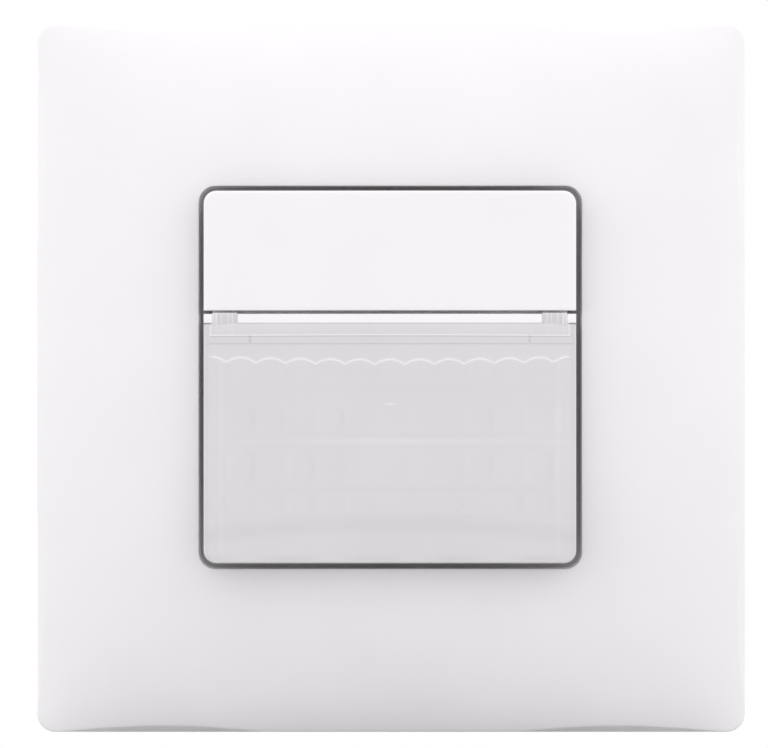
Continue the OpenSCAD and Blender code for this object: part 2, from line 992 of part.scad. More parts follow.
module dial(s) {
  low = sensor_front + trimmer_h + dial_gap;
  at = [s * dial_x, switch_y];
  color(plastic_white)
    difference() {
      union() {
        rod(at, dial_r, low, dial_top);
        rod(at, dial_stub_r, low - dial_stub_l, low + eps);
      }
      block(at, 2 * (dial_r - dial_slot_end), dial_slot_w, dial_top - dial_slot_t, dial_top + over);
    }
}

module board_header() {
  color(black)
    difference() {
      block(
        [header_x, 0],
        header_w,
        header_count * header_pitch,
        power_front,
        power_front + header_h
      );
      for (k = [0 : header_count - 1])
        block(header_pin_at(k), pin_hole, pin_hole, power_front - over, power_front + header_h + over);
    }
}

module header_pins() {
  color(brass)
    for (k = [0 : header_count - 1])
      block(header_pin_at(k), header_pin, header_pin, power_back - pin_tail, sensor_front + pin_tail);
}

module relay() {
  color([0.12, 0.25, 0.55])
    block(relay_at, relay_w, relay_d, power_front, power_front + part_h);
}

module film_capacitor() {
  color([0.75, 0.6, 0.15])
    block(film_at, film_w, film_d, power_front, power_front + film_h);
}

module electrolytic_capacitor() {
  color(black)
    rod(cap_at, cap_r, power_front, power_front + part_h);
}

module varistor() {
  color([0.15, 0.35, 0.6])
    translate([varistor_at[0], varistor_at[1] + varistor_t / 2, power_front + varistor_r])
      rotate([90, 0, 0])
        cylinder(r = varistor_r, h = varistor_t);
}

module fuse() {
  color([0.3, 0.2, 0.12])
    rod(fuse_at, fuse_r, power_front, power_front + fuse_h);
}

module bridge_rectifier() {
  color(black)
    block(bridge_at, bridge_w, bridge_d, power_front, power_front + bridge_h);
}

module inductor() {
  top = power_front + coil_h;
  color([0.2, 0.18, 0.16]) {
    rod(coil_at, coil_neck_r, power_front, top);
    rod(coil_at, coil_r, power_front, power_front + coil_flange_t);
    rod(coil_at, coil_r, top - coil_flange_t, top);
  }
}

module terminal_cages() {
  color(brass)
    for (k = terminals)
      difference() {
        block([k * terminal_pitch, clamp_y], cage_w, cage_h, cage_back, power_back);
        translate([k * terminal_pitch, cage_low + cage_h + over, wire_z])
          rotate([90, 0, 0])
            cylinder(r = wire_r, h = cage_h + 2 * over);
        rod([k * terminal_pitch, clamp_y], clamp_r + running_gap, cage_back - over, wire_z);
      }
}

module terminal_screws() {
  color(steel)
    for (k = terminals)
      difference() {
        union() {
          rod([k * terminal_pitch, clamp_y], clamp_r, clamp_seat - eps, clamp_tip);
          rod([k * terminal_pitch, clamp_y], clamp_head_r, clamp_seat - clamp_head_h, clamp_seat);
        }
        block(
          [k * terminal_pitch, clamp_y],
          2 * (clamp_head_r + over),
          clamp_slot_w,
          clamp_seat - clamp_head_h - over,
          clamp_seat - clamp_head_h + clamp_slot_t
        );
      }
}

module housing_screws() {
  color(steel)
    for (p = posts)
      difference() {
        union() {
          rod(p, screw_r, screw_seat - eps, sensor_front + screw_reach);
          rod(p, screw_head_r, screw_seat - screw_head_h, screw_seat);
        }
        for (a = [0, 90])
          translate([p[0], p[1], 0])
            rotate([0, 0, a])
              block(
                [0, 0],
                cross_l,
                cross_w,
                screw_seat - screw_head_h - over,
                screw_seat - screw_head_h + cross_t
              );
      }
}

on_wall() cover_frame();
on_wall() support_plate();
on_wall() front_housing();
on_wall() rear_housing();
on_wall() crossbar();
on_wall() lens();
on_wall() override_key();
on_wall() key_spring();
on_wall() sensor_board();
on_wall() pir_can();
on_wall() pir_window();
on_wall() pir_leads();
on_wall() sensor_shroud();
on_wall() light_sensor();
on_wall() status_led();
on_wall() controller_chip();
on_wall() tact_switch_body();
on_wall() switch_plunger();
on_wall() trimmer_base(-1);  // time_trimmer_base
on_wall() dial(-1);  // time_dial
on_wall() trimmer_base(1);  // lux_trimmer_base
on_wall() dial(1);  // lux_dial
on_wall() board_header();
on_wall() header_pins();
on_wall() power_board();
on_wall() relay();
on_wall() film_capacitor();
on_wall() electrolytic_capacitor();
on_wall() varistor();
on_wall() fuse();
on_wall() bridge_rectifier();
on_wall() inductor();
on_wall() terminal_cages();
on_wall() terminal_screws();
on_wall() housing_screws();
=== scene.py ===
# Looks of the motion sensor light switch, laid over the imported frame.
# Sizes are in millimetres and in the wall's own directions: x to the right, up, and out of the wall.
import json
import math

import bmesh
import bpy
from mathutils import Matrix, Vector

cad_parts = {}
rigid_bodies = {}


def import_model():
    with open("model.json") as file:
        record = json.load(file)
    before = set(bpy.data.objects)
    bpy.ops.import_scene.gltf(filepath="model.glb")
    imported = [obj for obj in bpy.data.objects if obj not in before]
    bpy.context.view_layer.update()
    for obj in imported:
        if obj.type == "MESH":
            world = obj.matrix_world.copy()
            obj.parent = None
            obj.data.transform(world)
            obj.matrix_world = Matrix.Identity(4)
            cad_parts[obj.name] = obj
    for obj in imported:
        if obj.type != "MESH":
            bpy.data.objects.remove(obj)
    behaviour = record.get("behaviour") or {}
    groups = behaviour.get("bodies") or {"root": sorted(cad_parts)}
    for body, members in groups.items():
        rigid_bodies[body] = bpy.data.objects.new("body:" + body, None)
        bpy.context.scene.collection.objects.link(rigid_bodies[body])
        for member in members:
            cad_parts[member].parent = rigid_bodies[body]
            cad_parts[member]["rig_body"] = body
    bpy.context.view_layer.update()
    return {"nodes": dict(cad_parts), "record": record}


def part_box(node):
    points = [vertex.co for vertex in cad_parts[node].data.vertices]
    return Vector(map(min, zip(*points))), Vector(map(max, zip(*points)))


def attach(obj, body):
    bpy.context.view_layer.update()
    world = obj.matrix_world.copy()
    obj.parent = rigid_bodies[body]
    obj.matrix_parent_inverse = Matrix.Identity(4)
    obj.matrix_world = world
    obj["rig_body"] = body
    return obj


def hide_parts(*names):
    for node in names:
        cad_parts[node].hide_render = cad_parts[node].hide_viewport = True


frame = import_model()
nodes = frame["nodes"]

MM = 0.001

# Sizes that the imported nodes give


def span(node):
    """Lowest and highest corner of a node, as x, up and out."""
    low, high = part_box(node)
    return Vector((low.x, low.z, -high.y)) / MM, Vector((high.x, high.z, -low.y)) / MM


frame_high = span("cover_frame")[1]
lens_box = span("lens")
key_box = span("override_key")
bar_box = span("crossbar")
FRAME_HALF = frame_high.x
FACE_HALF = key_box[1].x
FACE_HEIGHT = lens_box[1].z
KEY_LOW = key_box[0].y
KEY_TOP = key_box[1].y
LENS_LOW = lens_box[0].y

# Sizes repeated from the part's source
OPENING_HALF = 23
OPENING_R = 2
FRAME_R = 2.2
FRAME_LIP = 1.7
FRAME_EDGE = 3.4
FRAME_SHOULDER = 1.9
FRAME_DISH = 0.6
DISH_REACH = 10
SHOULDER_POWER = 12
DISH_POWER = 8
FRAME_SKIN = 1.8
FRAME_RIM = 2
EDGE_BEVEL = 0.7
BEVEL_FROM = 0.37
BEVEL_TO = 0.93
HOUSING_FACE = 7
LIP_Z = 7.2
POCKET_HALF = 24.9
POCKET_R = 3.5
HOOK_X = 22
HOOK_Y = 35.65
HOOK_W = 4
HOOK_T = 1.2
HOOK_LOW = 1.25
CATCH_W = 3.7
CATCH_REACH = 1
CATCH_LOW = 1.55
CATCH_HIGH = 2.45
BULGE_R = 400
FACE_R = 1.5
LENS_WALL = 1
LENS_HOOK_X = 19.75
LENS_HOOK_T = 1.2
KEY_WALL = 1.4
KEY_GAP = 0.4
BAR_TOP = KEY_LOW - KEY_GAP
SKIRT_LOW = 7.7
SKIRT_HIGH = 8.5
PIVOT_UP = KEY_LOW + 0.95
PIVOT_OUT = 8.95
PIVOT_R = 0.75
EAR_X = FACE_HALF - 2.9
POST_UP = PIVOT_UP + 5.5
POST_R = 1.4
POST_TIP = 9.12

# Small forms that only the looks have, or have in a slightly other size
LIP_ROUND = 0.12
LIP_DRAFT = 0.3
LIP_IN = 0.05
CREASE_ROUND = 0.25
KEY_ROUND = 0.3
KEY_LOW_ROUND = 0.15
CAP_DEPTH = 0.8
CAP_STEP = 0.1
LENS_ROUND = 0.2
LENS_SEAM = 0.01
LENS_TOP = bar_box[0].y - LENS_SEAM
LENS_HOOK_W = 2.98
HOOK_NOSE = 0.12
NOSE_DEPTH = 1.1

# Colours, as linear values
FRAME_WHITE = (0.925, 0.9, 0.925)
KEY_WHITE = (0.945, 0.92, 0.945)
# The bar's white is the key's white made lighter: painted light for the narrow strip that catches the
# light from above.
BAR_LIT_WHITE = (0.975, 0.955, 0.975)
LENS_COLOUR = (0.75, 0.73, 0.75)
HOUSING_GREY = (0.28, 0.277, 0.283)
FRONT_GREY = (0.41, 0.405, 0.414)
PLATE_STEEL = (0.72, 0.73, 0.74)
BRIGHT_STEEL = (0.76, 0.76, 0.78)
CONTACT_BRASS = (0.78, 0.64, 0.34)
BOARD_GREEN = (0.06, 0.26, 0.14)
FILTER_DARK = (0.03, 0.03, 0.045)
LAMP_RED = (0.6, 0.08, 0.06)
PART_BLACK = (0.05, 0.05, 0.05)
PART_BLUE = (0.08, 0.18, 0.45)
PART_YELLOW = (0.7, 0.52, 0.1)
PART_BROWN = (0.22, 0.14, 0.09)

# Range of the cloud noise that the finishes use
CLOUD_LOW = 0.3
CLOUD_HIGH = 0.7

# Painted shade, as shares of the colour: on the walls under the key and the lens, so that they throw
# less light on the frame beside the face, and on the seam beside the band
SKIRT_PAINTED_SHADE = 0.5
SEAM_PAINTED_SHADE = 0.55

# Painted shade of the lens from its lower edge up: height and share of the colour, arched over the
# width
LENS_BOTTOM_SHADE = 0.97
ARCHED_BY = 0.003
ARCHED_SHADES = (
    (-20.5, 0.985),
    (-19, 0.985),
    (-17.9, 0.945),
    (-17.2, 0.945),
    (-16, 0.99),
    (-9, 1.0),
    (-6, 1.0),
    (-1, 0.985),
)

# Floor and even light of the studio
FLOOR_UP = -45
FLOOR_TONE = 0.62
WORLD_LIGHT = 1.12

# Lamps: name, place, size and brightness of the surface
LAMPS = (
    ("left", (-900, 0, 110), (400, 900), 0.51),
    ("right", (900, 0, 110), (400, 900), 0.51),
)

# Mesh tools


def place(x, up, out):
    """Point of the frame, in metres, from the wall's own directions."""
    return Vector((x, -out, up)) * MM


def skin(rings, closed=False):
    """Points and quads over rings that all have the same number of points."""
    count = len(rings[0])
    points = [p for ring in rings for p in ring]
    faces = []
    for j in range(len(rings) if closed else len(rings) - 1):
        a = j * count
        b = (j + 1) % len(rings) * count
        for i in range(count):
            k = (i + 1) % count
            faces.append((a + i, a + k, b + k, b + i))
    return points, faces


def capped(rings):
    """Skin over rings with the first and the last ring closed."""
    points, faces = skin(rings)
    count = len(rings[0])
    faces.append(tuple(range(count)))
    faces.append(tuple(range(len(points) - count, len(points))))
    return points, faces


def joined(*shells):
    """Several shells as one list of points and faces."""
    points, faces = [], []
    for shell_points, shell_faces in shells:
        start = len(points)
        points += shell_points
        faces += [tuple(start + i for i in face) for face in shell_faces]
    return points, faces


def make_mesh(name, shell, material):
    """Mesh from points and faces, with all faces turned outwards."""
    points, faces = shell
    mesh = bpy.data.meshes.new(name)
    mesh.from_pydata([place(*p) for p in points], [], faces)
    work = bmesh.new()
    work.from_mesh(mesh)
    bmesh.ops.recalc_face_normals(work, faces=work.faces)
    work.to_mesh(mesh)
    work.free()
    mesh.materials.append(material)
    return mesh


def make_piece(name, shell, node, material, sharp_angle=35, tones=()):
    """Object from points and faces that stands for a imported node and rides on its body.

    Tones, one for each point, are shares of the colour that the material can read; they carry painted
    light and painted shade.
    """
    mesh = make_mesh(name, shell, material)
    mesh.shade_smooth()
    mesh.set_sharp_from_angle(angle=math.radians(sharp_angle))
    if tones:
        attribute = mesh.attributes.new("painted_shading", "FLOAT", "POINT")
        attribute.data.foreach_set("value", tones)
    piece = bpy.data.objects.new(name, mesh)
    bpy.context.scene.collection.objects.link(piece)
    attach(piece, nodes[node]["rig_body"])
    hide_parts(node)
    return piece


def blend_points(a, b, share):
    """Points on the way from each point of a to its partner in b."""
    return [tuple(p + (q - p) * share for p, q in zip(*pair)) for pair in zip(a, b)]


def smooth_step(low, high, value):
    """Soft rise from 0 at the low value to 1 at the high one."""
    share = min(max((value - low) / (high - low), 0), 1)
    return share * share * (3 - 2 * share)


def rounded_outline(half, low, high, r_low, r_high, side_steps, arc_steps):
    """Points round a rectangle with rounded corners, anticlockwise from the lower right corner."""
    corners = [
        (half - r_low, low + r_low, r_low),
        (half - r_high, high - r_high, r_high),
        (r_high - half, high - r_high, r_high),
        (r_low - half, low + r_low, r_low),
    ]
    arcs = []
    for quarter, (x, up, r) in enumerate(corners):
        angles = [math.pi / 2 * (quarter - 1 + i / arc_steps) for i in range(arc_steps + 1)]
        arcs.append([(x + r * math.cos(a), up + r * math.sin(a)) for a in angles])
    points = []
    for arc, following in zip(arcs, arcs[1:] + arcs[:1]):
        points += arc
        ends = ([arc[-1]], [following[0]])
        points += [blend_points(*ends, i / side_steps)[0] for i in range(1, side_steps)]
    return points


def rounded_block(x, up, w, h, low, high, r):
    """Closed block with rounded edges all round."""
    steps = 4
    third = r / 3
    rising = [(low, r), (low + third, third), (low + r, 0)]
    closing = [(high - r, 0), (high - third, third), (high, r)]
    rings = []
    for out, inset in rising + closing:
        half = w / 2 - inset
        outline = rounded_outline(half, up - h / 2 + inset, up + h / 2 - inset, r / 2, r / 2, 1, steps)
        rings.append([(x + px, pu, out) for px, pu in outline])
    return capped(rings)


# Forms that several pieces share


def face_out(x):
    """Height of the slightly bulged face."""
    return FACE_HEIGHT - BULGE_R + math.sqrt(BULGE_R * BULGE_R - x * x)


def frame_out(x, up):
    """Height of the pillow-shaped frame."""
    tx = abs(x) / FRAME_HALF
    ty = abs(up) / FRAME_HALF
    opening = OPENING_HALF / FRAME_HALF
    opening_rise = LIP_Z + FRAME_LIP + FRAME_DISH - FRAME_EDGE - FRAME_SHOULDER
    pillow = opening_rise / (1 - opening**2) * (1 - tx**2) * (1 - ty**2)
    shoulder = FRAME_SHOULDER * (1 - tx**SHOULDER_POWER) * (1 - ty**SHOULDER_POWER)
    near = (abs(x) ** DISH_POWER + abs(up) ** DISH_POWER) ** (1 / DISH_POWER)
    dish = FRAME_DISH * max(1 - (near - OPENING_HALF) / DISH_REACH, 0) ** 2
    return FRAME_EDGE + pillow + shoulder - dish


def crease_point(x, up):
    """Point of the outer outline, drawn in where the side wall slopes."""
    off_middle = min(abs(x), abs(up)) / FRAME_HALF
    share = (off_middle - BEVEL_FROM) / (BEVEL_TO - BEVEL_FROM)
    drawn_in = EDGE_BEVEL * math.sin(math.pi * share) if 0 < share < 1 else 0
    scale = 1 - drawn_in / FRAME_HALF
    return x * scale, up * scale


# Pieces with a form of their own


def frame_shell(material):
    """Hollow pillow-shaped frame with its four hooks."""
    side_steps = 72
    arc_steps = 8
    round_steps = 5
    face_steps = 44
    under_steps = 14

    def outline(half, r):
        return rounded_outline(half, -half, half, r, r, side_steps, arc_steps)

    def on_face(points, drop=0):
        return [(x, up, frame_out(x, up) - drop) for x, up in points]

    def level(points, out):
        return [(x, up, out) for x, up in points]

    rings = [level(outline(OPENING_HALF - LIP_DRAFT, OPENING_R - LIP_DRAFT), LIP_Z)]
    for k in range(round_steps + 1):
        angle = math.pi / 2 * k / round_steps
        grow = LIP_ROUND * (1 - math.cos(angle)) - LIP_IN
        drop = LIP_ROUND * (1 - math.sin(angle))
        rings.append(on_face(outline(OPENING_HALF + grow, OPENING_R + grow), drop))
    lip = outline(OPENING_HALF + LIP_ROUND - LIP_IN, OPENING_R + LIP_ROUND - LIP_IN)
    rim = outline(FRAME_HALF, FRAME_R)
    crease = [crease_point(x, up) for x, up in rim]
    inward = 1 - CREASE_ROUND / FRAME_HALF
    inside_crease = [(x * inward, up * inward) for x, up in crease]
    for k in range(1, face_steps + 1):
        rings.append(on_face(blend_points(lip, inside_crease, k / face_steps)))
    above = on_face(inside_crease)
    corner = on_face(crease)
    foot = level(rim, 0)
    below = []
    for corner_point, foot_point in zip(corner, foot):
        down = min(CREASE_ROUND / corner_point[2], 1)
        below += blend_points([corner_point], [foot_point], down)
    for k in range(1, round_steps + 1):
        share = k / round_steps
        to_corner = blend_points(above, corner, share)
        from_corner = blend_points(corner, below, share)
        rings.append(blend_points(to_corner, from_corner, share))
    rings.append(foot)
    inner = outline(FRAME_HALF - FRAME_RIM, FRAME_R)
    pocket = outline(POCKET_HALF, POCKET_R)
    rings.append(level(inner, 0))
    for k in range(under_steps + 1):
        rings.append(on_face(blend_points(inner, pocket, k / under_steps), FRAME_SKIN))
    rings.append(level(pocket, LIP_Z))

    hooks = []
    leg_round = 0.15
    catch_round = 0.1
    catch_h = CATCH_REACH + LIP_ROUND
    root = frame_out(HOOK_X, HOOK_Y) - FRAME_SKIN + FRAME_SKIN / 3
    for x in (-HOOK_X, HOOK_X):
        for sy in (-1, 1):
            leg_up = sy * (HOOK_Y + HOOK_T / 2)
            catch_up = sy * (HOOK_Y - CATCH_REACH / 2 + LIP_ROUND / 2)
            leg = rounded_block(x, leg_up, HOOK_W, HOOK_T, HOOK_LOW, root, leg_round)
            catch = rounded_block(x, catch_up, CATCH_W, catch_h, CATCH_LOW, CATCH_HIGH, catch_round)
            hooks += [leg, catch]
    return make_piece("frame_shell", joined(skin(rings, closed=True), *hooks), "cover_frame", material)


def key_cap(material):
    """Hollow key with side walls, two pivot pins and the post that presses the switch."""
    side_steps = 40
    arc_steps = 8
    round_steps = 5
    face_steps = 12
    lip_h = 0.2
    lip_t = 0.5
    low_r = 0.1

    def outline(inset, low_inset):
        return rounded_outline(
            FACE_HALF - inset,
            KEY_LOW + low_inset,
            KEY_TOP - inset,
            low_r,
            FACE_R - inset / 2,
            side_steps,
            arc_steps,
        )

    def skirt_out(x, up):
        """Lower edge of the side walls, which stops short along the lower edge of the key."""
        share = (up - KEY_LOW) / (KEY_TOP - KEY_LOW)
        skirt = SKIRT_LOW + (SKIRT_HIGH - SKIRT_LOW) * share
        lip = face_out(x) - KEY_WALL - lip_h
        return lip + (skirt - lip) * smooth_step(KEY_LOW + lip_t, KEY_LOW + 2 * lip_t, up)

    middle = (0, (KEY_LOW + KEY_TOP) / 2)
    front = outline(KEY_ROUND, KEY_LOW_ROUND)
    rings = []
    for k in range(1, face_steps + 1):
        ring = blend_points([middle] * len(front), front, k / face_steps)
        rings.append([(x, up, face_out(x)) for x, up in ring])
    for k in range(1, round_steps + 1):
        angle = math.pi / 2 * k / round_steps
        inset = 1 - math.sin(angle)
        drop = 1 - math.cos(angle)
        ring = []
        for x, up in outline(KEY_ROUND * inset, KEY_LOW_ROUND * inset):
            near_low = 1 - smooth_step(KEY_LOW + low_r, KEY_LOW + 3 * low_r, up)
            rounding = KEY_ROUND + (KEY_LOW_ROUND - KEY_ROUND) * near_low
            ring.append((x, up, face_out(x) - drop * rounding))
        rings.append(ring)
    hollow = outline(KEY_WALL, lip_t)
    white_rings = len(rings) + 1
    for depth in (CAP_DEPTH, CAP_DEPTH + CAP_STEP):
        rings.append([(x, up, face_out(x) - depth) for x, up in outline(0, 0)])
    rings.append([(x, up, skirt_out(x, up)) for x, up in outline(0, 0)])
    rings.append([(x, up, skirt_out(x, up)) for x, up in hollow])
    rings.append([(x, up, face_out(x) - KEY_WALL) for x, up in hollow])
    for k in range(1, face_steps):
        ring = blend_points(hollow, [middle] * len(hollow), k / face_steps)
        rings.append([(x, up, face_out(x) - KEY_WALL) for x, up in ring])

    pin_steps = 24
    circle = [2 * math.pi * i / pin_steps for i in range(pin_steps)]
    pin = [(PIVOT_UP + PIVOT_R * math.cos(a), PIVOT_OUT + PIVOT_R * math.sin(a)) for a in circle]
    pins = []
    for side in (-1, 1):
        ends = (side * EAR_X, side * (FACE_HALF - KEY_WALL / 2))
        pins.append(capped([[(x, up, out) for up, out in pin] for x in ends]))
    post_rings = []
    tip_steps = 6
    for k in range(1, tip_steps + 1):
        angle = math.pi / 2 * k / tip_steps
        post_rings.append((POST_R * math.sin(angle), POST_TIP + POST_R * (1 - math.cos(angle))))
    post_rings.append((POST_R, FACE_HEIGHT - KEY_WALL / 2))
    post = capped(
        [[(r * math.cos(a), POST_UP + r * math.sin(a), out) for a in circle] for r, out in post_rings]
    )
    shell = joined(capped(rings), *pins, post)
    # The face, its rounded edge and the top of the walls keep the plain white; the lower walls, the
    # pins and the post take the painted shade of the walls.
    tones = [1] * (white_rings * len(front))
    tones += [SKIRT_PAINTED_SHADE] * (len(shell[0]) - len(tones))
    return make_piece("key_cap", shell, "override_key", material, tones=tones)


# Relief of the lens, all heights over the bulged face
BAND_LOW = 4.96
BAND_HALF = 21.48
BAND_DEPTH = 0.1
RIB_LOW = 3.97
FIELD_DEPTH = 0.08
TICK_X = 16.7
TICK_W = 0.36
TICK_DEPTH = 0.1
SCALLOP_PITCH = 3.566
SCALLOP_MIDDLE = 2.09
SCALLOP_SAG = 0.35
SCALLOP_DIP = 0.62
SCALLOP_STEP = 0.06
SCALLOP_REACH = 1.5
GROOVE_PITCH = 0.38
GROOVE_DEPTH = 0.005
GROOVE_REACH = 2.7
ROW_UP = (-7.67, -13.54, -16.83)
ROW_RIDGE = 0.02
PILLOW_DEPTH = 0.02
RIM_FROM = 0.4
RIM_TO = 0.7
WALL_RUN = 0.05

# Painted highlights and painted shade along the moulded lines of the lens, as shares of its colour
SCALLOP_LIGHT = 0.15
SCALLOP_LINE = 0.17
BAND_LIGHT = 0.18
BAND_SHADE = 0.2
BAND_LINE = 0.07
BAND_SAG = 0.08
BAND_FADE = 0.025
END_LIGHT = 0.24
RIB_SHADE = 0.02
RIB_FADE = 0.02
STRIP_SHADE = 0.06
BAR_LIGHT = 0.12
BAR_GLOW = 0.03
BAR_LINE = 0.18
TICK_SHADE = 0.05
DASH_UP = -3.27
DASH_LIGHT = 0.2
DASH_LINE = 0.09
DASH_REACH = 0.7

# Faint level lines of painted light and shade on the lens: height and light, clearest around their
# middle; the arches under the scalloped line are painted shade too
ROW_LIGHTS = ((-1.4, -0.015), (-6.95, -0.025), (-7.67, 0.045), (-8.35, -0.025), (-13.54, -0.03))
ROW_LINE = 0.3
ROW_MIDDLE = 2
ROW_REACH = 15
ARCH_SHADE = 0.022

# Rows of lenslets, from their lower to their upper edge, and the crescents of painted shade and
# painted light beside each lenslet
LENSLET_ROWS = ((-6.9, -3.4), (-13.2, -8.4), (-16.4, -13.9))
LENSLET_SHADE = 0.045
LENSLET_LIGHT = 0.03
CRESCENT_AT = 0.8
CRESCENT_LINE = 0.2
CELL_TURN = 2.4
ROW_TURN = 1.7
MIDDLE_CLEAR = 0.3
CLEAR_FROM = 2
CLEAR_TO = 8

# Painted shade along the border of the lens, with a painted light line inside the sides; the lower
# shade comes and goes along the edge
SIDE_LIGHT = 0.03
SIDE_IN = 2.1
RIM_SHADE = 0.045
RIM_LINE = 0.25
RIM_IN = 0.35
LOW_RIM_SHADE = 0.09
LOW_RIM_IN = 0.55
LOW_RIM_PITCH = 10
LOW_RIM_PATCH = -2.1
LOW_RIM_EVEN = 0.6

# Painted light streaks on the snap hooks: distance from the hook's middle and light, weaker in the
# band below; then the painted shade of the hook beside the bar and the painted highlights on its top
# edge and its pale end
STREAKS = ((-0.9, 0.18), (-0.4, 0.16), (0.4, 0.16), (1.04, 0.32))
STREAK_LINE = 0.08
BAND_STREAKS = 0.2
HOOK_PAINTED_SHADE = 0.94
HOOK_EDGE_LIGHT = 0.1
HOOK_END = 1.15
HOOK_END_LIGHT = 0.24


def line(distance, width):
    """Soft line that is 1 at no distance and fades over its width."""
    return math.exp(-((distance / width) ** 2))


def scallop_cell(x):
    """Place inside one arch, from -0.5 to 0.5."""
    return x / SCALLOP_PITCH - round(x / SCALLOP_PITCH)


def scallop_up(x):
    """Height of the scalloped line at a distance from the middle."""
    sag = SCALLOP_SAG * (x / BAND_HALF) ** 2
    return SCALLOP_MIDDLE + sag - SCALLOP_DIP * (2 * scallop_cell(x)) ** 2


def band_edge(x):
    """Lower edge of the band under the bar, a little higher in the middle."""
    return BAND_LOW + BAND_SAG * (1 - (x / BAND_HALF) ** 2)


def lens_relief(x, up):
    """Moulded relief: recessed band under the bar, rib, scalloped step and rows of lenslets."""
    above_rib = smooth_step(RIB_LOW - WALL_RUN, RIB_LOW + WALL_RUN, up)
    below_line = 1 - smooth_step(-WALL_RUN, WALL_RUN, up - scallop_up(x))
    field = -FIELD_DEPTH * (1 - above_rib) + SCALLOP_STEP * below_line
    in_band = smooth_step(-WALL_RUN, WALL_RUN, up - band_edge(x))
    in_band *= 1 - smooth_step(BAND_HALF - WALL_RUN, BAND_HALF + WALL_RUN, abs(x))
    field -= BAND_DEPTH * in_band
    tick = 1 - smooth_step(TICK_W / 4, TICK_W / 2, abs(abs(x) - TICK_X))
    field -= TICK_DEPTH * tick * above_rib * (1 - in_band)
    under = scallop_up(x) - up
    if 0 < under < GROOVE_REACH:
        wave = math.sin(2 * math.pi * under / GROOVE_PITCH)
        field += GROOVE_DEPTH * wave * (1 - under / GROOVE_REACH)
    field -= PILLOW_DEPTH * (2 * scallop_cell(x)) ** 4 * below_line
    for row in ROW_UP:
        field -= ROW_RIDGE * line(up - row, 2 * WALL_RUN)
    edge = min(FACE_HALF - abs(x), up - LENS_LOW)
    return field * smooth_step(RIM_FROM, RIM_TO, edge)


def streaks(x):
    """Upright painted light streaks of the snap hooks, as a share of the colour."""
    off_middle = abs(x) - LENS_HOOK_X
    return sum(light * line(off_middle - place_x, STREAK_LINE) for place_x, light in STREAKS)


def lenslets(x, up):
    """Faint crescents of painted shade and painted light beside the lenslets, clearest at the left and
    at the far right.
    """
    painted_shading = 0
    cell = round(x / SCALLOP_PITCH)
    for number, (low, high) in enumerate(LENSLET_ROWS):
        along = (2 * up - low - high) / (high - low)
        if abs(along) < 1:
            across = 2 * scallop_cell(x)
            radius = (abs(across) ** 3 + abs(along) ** 3) ** (1 / 3)
            crescent = line(radius - CRESCENT_AT, CRESCENT_LINE) * (1 - along**4)
            clear = 0.5 + 0.5 * math.sin(CELL_TURN * cell + ROW_TURN * number)
            off_middle = smooth_step(CLEAR_FROM, CLEAR_TO, abs(x - ROW_MIDDLE))
            clear *= MIDDLE_CLEAR + (1 - MIDDLE_CLEAR) * off_middle
            painted_shading -= LENSLET_SHADE * clear * crescent * max(across, 0)
            painted_shading += LENSLET_LIGHT * clear * crescent * max(-across, 0)
    return painted_shading


def lens_painted_shading(x, up):
    """Share of the lens colour at a point: painted light on the ridges and lines, painted shade in the
    grooves and along the rim.
    """
    beside = FACE_HALF - abs(x)
    above = up - LENS_LOW
    inside = smooth_step(RIM_FROM, 2 * RIM_TO, min(beside, above))
    painted_shading = 1 + SCALLOP_LIGHT * line(up - scallop_up(x), SCALLOP_LINE) * inside
    along_band = 1 - smooth_step(BAND_HALF, BAND_HALF + 2 * WALL_RUN, abs(x))
    over_line = up - band_edge(x)
    painted_shading += BAND_LIGHT * line(over_line, BAND_LINE) * along_band
    painted_shading -= BAND_SHADE * line(over_line + 2 * BAND_LINE, BAND_LINE) * along_band
    painted_shading -= BAND_FADE * line(over_line - 4 * BAND_LINE, 2 * BAND_LINE) * along_band
    up_band = smooth_step(-BAND_LINE, 0, over_line)
    painted_shading += END_LIGHT * line(abs(x) - BAND_HALF, BAND_LINE) * up_band
    painted_shading -= RIB_SHADE * line(up - RIB_LOW, BAND_LINE)
    in_rib = smooth_step(RIB_LOW, RIB_LOW + WALL_RUN, up) * (1 - up_band)
    painted_shading -= TICK_SHADE * line(abs(x) - TICK_X, TICK_W / 2) * in_rib
    painted_shading += DASH_LIGHT * line(up - DASH_UP, DASH_LINE) * line(x, DASH_REACH)
    for row, light in ROW_LIGHTS:
        painted_shading += light * line(up - row, ROW_LINE) * line(x - ROW_MIDDLE, ROW_REACH) * inside
    painted_shading += lenslets(x, up) * inside
    under = scallop_up(x) - up
    if under > 0:
        arches = math.sin(2 * math.pi * under / GROOVE_PITCH)
        upright = (2 * scallop_cell(x)) ** 4
        painted_shading += ARCH_SHADE * (arches - upright) * max(1 - under / GROOVE_REACH, 0)
        painted_shading += SIDE_LIGHT * line(beside - SIDE_IN, RIM_LINE) * inside
    painted_shading -= RIM_SHADE * line(beside - RIM_IN, RIM_LINE) * (1 - up_band)
    wave = math.cos(2 * math.pi * (x - LOW_RIM_PATCH) / LOW_RIM_PITCH)
    patches = LOW_RIM_EVEN + (1 - LOW_RIM_EVEN) * wave
    painted_shading -= LOW_RIM_SHADE * line(above - LOW_RIM_IN, RIM_LINE) * patches
    beyond_band = smooth_step(BAND_HALF, BAND_HALF + 3 * BAND_LINE, abs(x))
    painted_shading -= STRIP_SHADE * beyond_band * up_band
    painted_shading += BAND_STREAKS * streaks(x) * up_band * along_band
    under_bar = LENS_TOP - up
    painted_shading += BAR_LIGHT * line(under_bar, BAR_LINE) * along_band
    painted_shading += BAR_GLOW * line(under_bar, 4 * BAR_LINE) * along_band
    return painted_shading - RIB_FADE * in_rib


